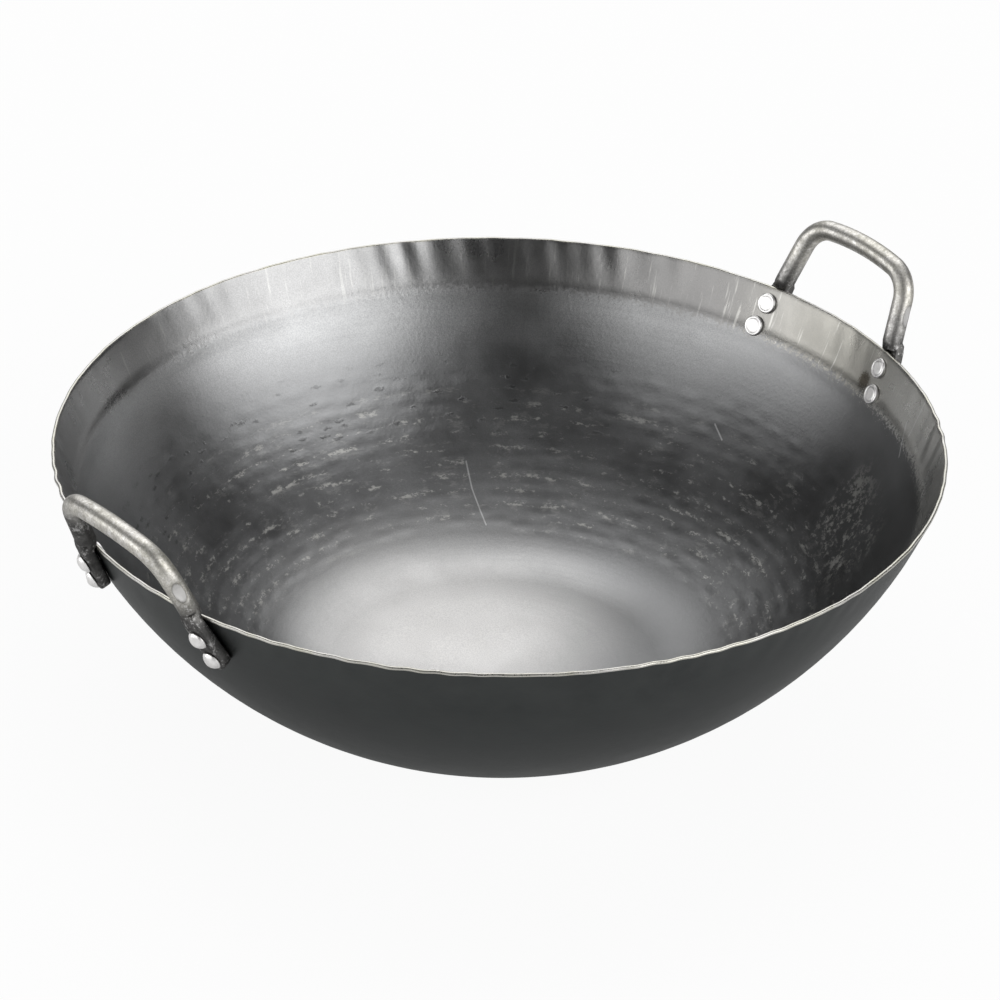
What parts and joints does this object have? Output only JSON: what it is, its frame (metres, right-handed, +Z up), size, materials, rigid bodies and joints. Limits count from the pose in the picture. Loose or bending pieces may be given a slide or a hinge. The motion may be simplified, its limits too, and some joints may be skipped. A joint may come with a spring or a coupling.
{
  "type": "two-handled wok",
  "caption": "Deep round hammered carbon-steel wok with a flattened base and two bent bar handles riveted to the rim, for frying and hot pot",
  "frame": {"origin": "middle of the flat base, on the surface that the pan stands on", "axes": "+Z up, out of the bowl's mouth; +X through the middle of the first handle"},
  "size_m": [0.3924, 0.3594, 0.14],
  "materials": {
    "bowl_steel": "dark oiled mill-scale steel, hammered in rings, satin",
    "handle_steel": "grey oxidised steel bar with dark mottling, satin",
    "rivet_steel": "bright plain steel"
  },
  "bodies": {
    "root": {"bowl": "bowl_steel", "handle_a": "handle_steel", "handle_b": "handle_steel", "rivet_a_left_upper": "rivet_steel", "rivet_a_left_lower": "rivet_steel", "rivet_a_right_upper": "rivet_steel", "rivet_a_right_lower": "rivet_steel", "rivet_b_left_upper": "rivet_steel", "rivet_b_left_lower": "rivet_steel", "rivet_b_right_upper": "rivet_steel", "rivet_b_right_lower": "rivet_steel"}
  },
  "joints": []
}
